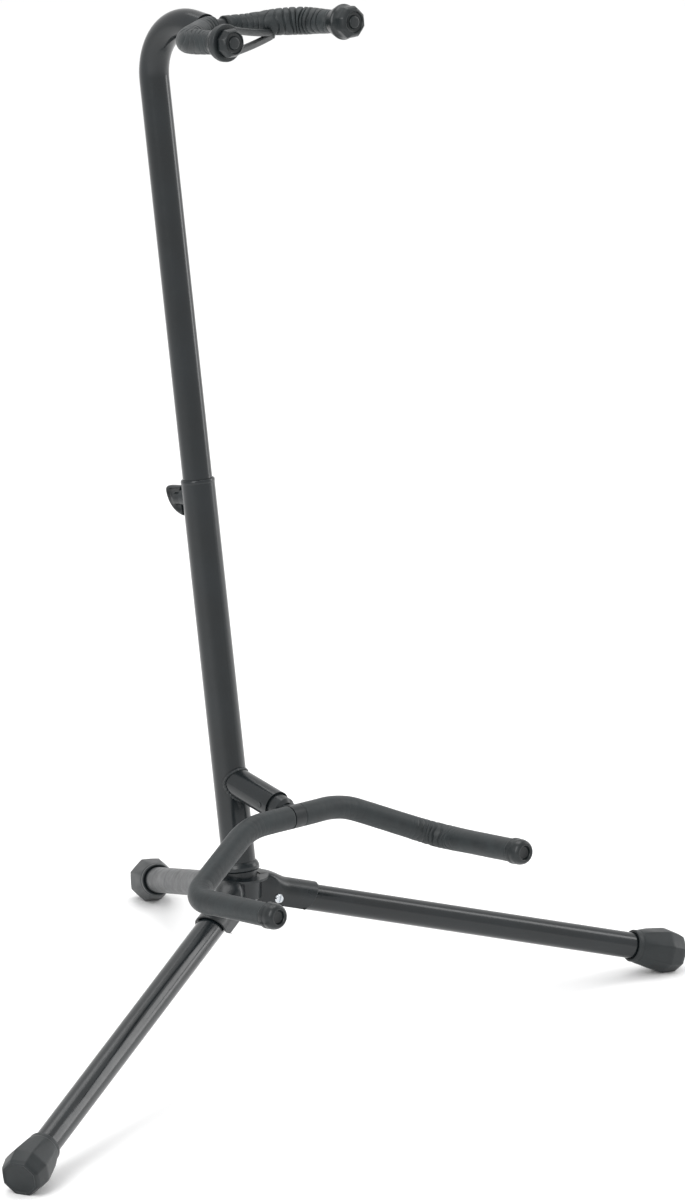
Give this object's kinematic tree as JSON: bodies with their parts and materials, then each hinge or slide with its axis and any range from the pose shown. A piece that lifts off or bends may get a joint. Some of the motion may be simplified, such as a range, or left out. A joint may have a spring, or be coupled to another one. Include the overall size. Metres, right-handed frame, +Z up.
{
  "type": "guitar stand",
  "caption": "Tubular black guitar stand: folding tripod legs, telescopic leaning mast, padded lower cradle and an upper neck yoke with a rubber strap.",
  "frame": {"origin": "on the floor, straight below the centre of the leg hub, where the three leg centre lines and the mast's centre line meet", "axes": "+Z up; -Y the way the cradle and the neck yoke open, which is the front; +X the side of the right leg as seen from the front"},
  "size_m": [0.7206, 0.5178, 0.7882],
  "materials": {
    "tube_paint": "semi-gloss black stove enamel on drawn steel tube",
    "lug_paint": "satin black stove enamel on pressed and turned steel",
    "bright_zinc": "bright zinc plate",
    "foam_sleeve": "matte black foam rubber, wrinkled at the bends",
    "rubber": "satin moulded black rubber",
    "moulded_plastic": "fine-grained moulded black plastic",
    "nylon": "natural moulded nylon"
  },
  "bodies": {
    "stand_base": {"lower_mast_tube": "tube_paint", "mast_collar": "lug_paint", "lock_boss": "lug_paint", "hub_block": "lug_paint", "hub_rivet": "lug_paint", "hub_washer": "bright_zinc", "hub_bolt": "bright_zinc", "leg_bracket_right": "lug_paint", "leg_pivot_right": "bright_zinc", "leg_nut_right": "bright_zinc", "leg_bracket_left": "lug_paint", "leg_pivot_left": "bright_zinc", "leg_nut_left": "bright_zinc", "leg_bracket_rear": "lug_paint", "leg_pivot_rear": "bright_zinc", "leg_nut_rear": "bright_zinc", "cradle_strut": "tube_paint", "cradle_saddle": "lug_paint", "saddle_rivet": "lug_paint", "cradle_bar": "lug_paint", "cradle_sleeve_right": "foam_sleeve", "cradle_sleeve_left": "foam_sleeve", "cradle_cap_right": "moulded_plastic", "cradle_cap_left": "moulded_plastic"},
    "leg_right": {"leg_tube_right": "tube_paint", "foot_right": "rubber"},
    "leg_left": {"leg_tube_left": "tube_paint", "foot_left": "rubber"},
    "leg_rear": {"leg_tube_rear": "tube_paint", "foot_rear": "rubber"},
    "mast_carriage": {"mast_guide_bush": "nylon"},
    "upper_mast": {"upper_mast_tube": "tube_paint", "neck_saddle": "lug_paint", "neck_bar": "lug_paint", "neck_sleeve_right": "foam_sleeve", "neck_sleeve_left": "foam_sleeve", "neck_knob_right": "moulded_plastic", "neck_knob_left": "moulded_plastic", "neck_strap": "rubber"},
    "lock": {"lock_screw": "bright_zinc", "lock_knob": "moulded_plastic"}
  },
  "joints": [
    {"name": "leg_right_fold", "type": "hinge", "parent": "stand_base", "child": "leg_right", "pos_m": [0.02415, -0.0054, 0.11207], "axis": [0.2181, 0.9759, 0], "range_deg": [0, 65]},
    {"name": "leg_left_fold", "type": "hinge", "parent": "stand_base", "child": "leg_left", "pos_m": [-0.02247, -0.01038, 0.11207], "axis": [0.4195, -0.9078, 0], "range_deg": [0, 65]},
    {"name": "leg_rear_fold", "type": "hinge", "parent": "stand_base", "child": "leg_rear", "pos_m": [0.01208, 0.0216, 0.11207], "axis": [-0.8729, 0.4879, 0], "range_deg": [0, 65]},
    {"name": "mast_height", "type": "slide", "parent": "stand_base", "child": "mast_carriage", "axis": [0, 0.1582, 0.9874], "range_m": [-0.135, 0.07]},
    {"name": "neck_swivel", "type": "hinge", "parent": "mast_carriage", "child": "upper_mast", "pos_m": [0, 0.04745, 0.41809], "axis": [0, 0.1582, 0.9874], "continuous": true},
    {"name": "lock_turn", "type": "hinge", "parent": "stand_base", "child": "lock", "pos_m": [0, 0.04618, 0.41019], "axis": [0, 0.9874, -0.1582], "range_deg": [0, 540]}
  ]
}
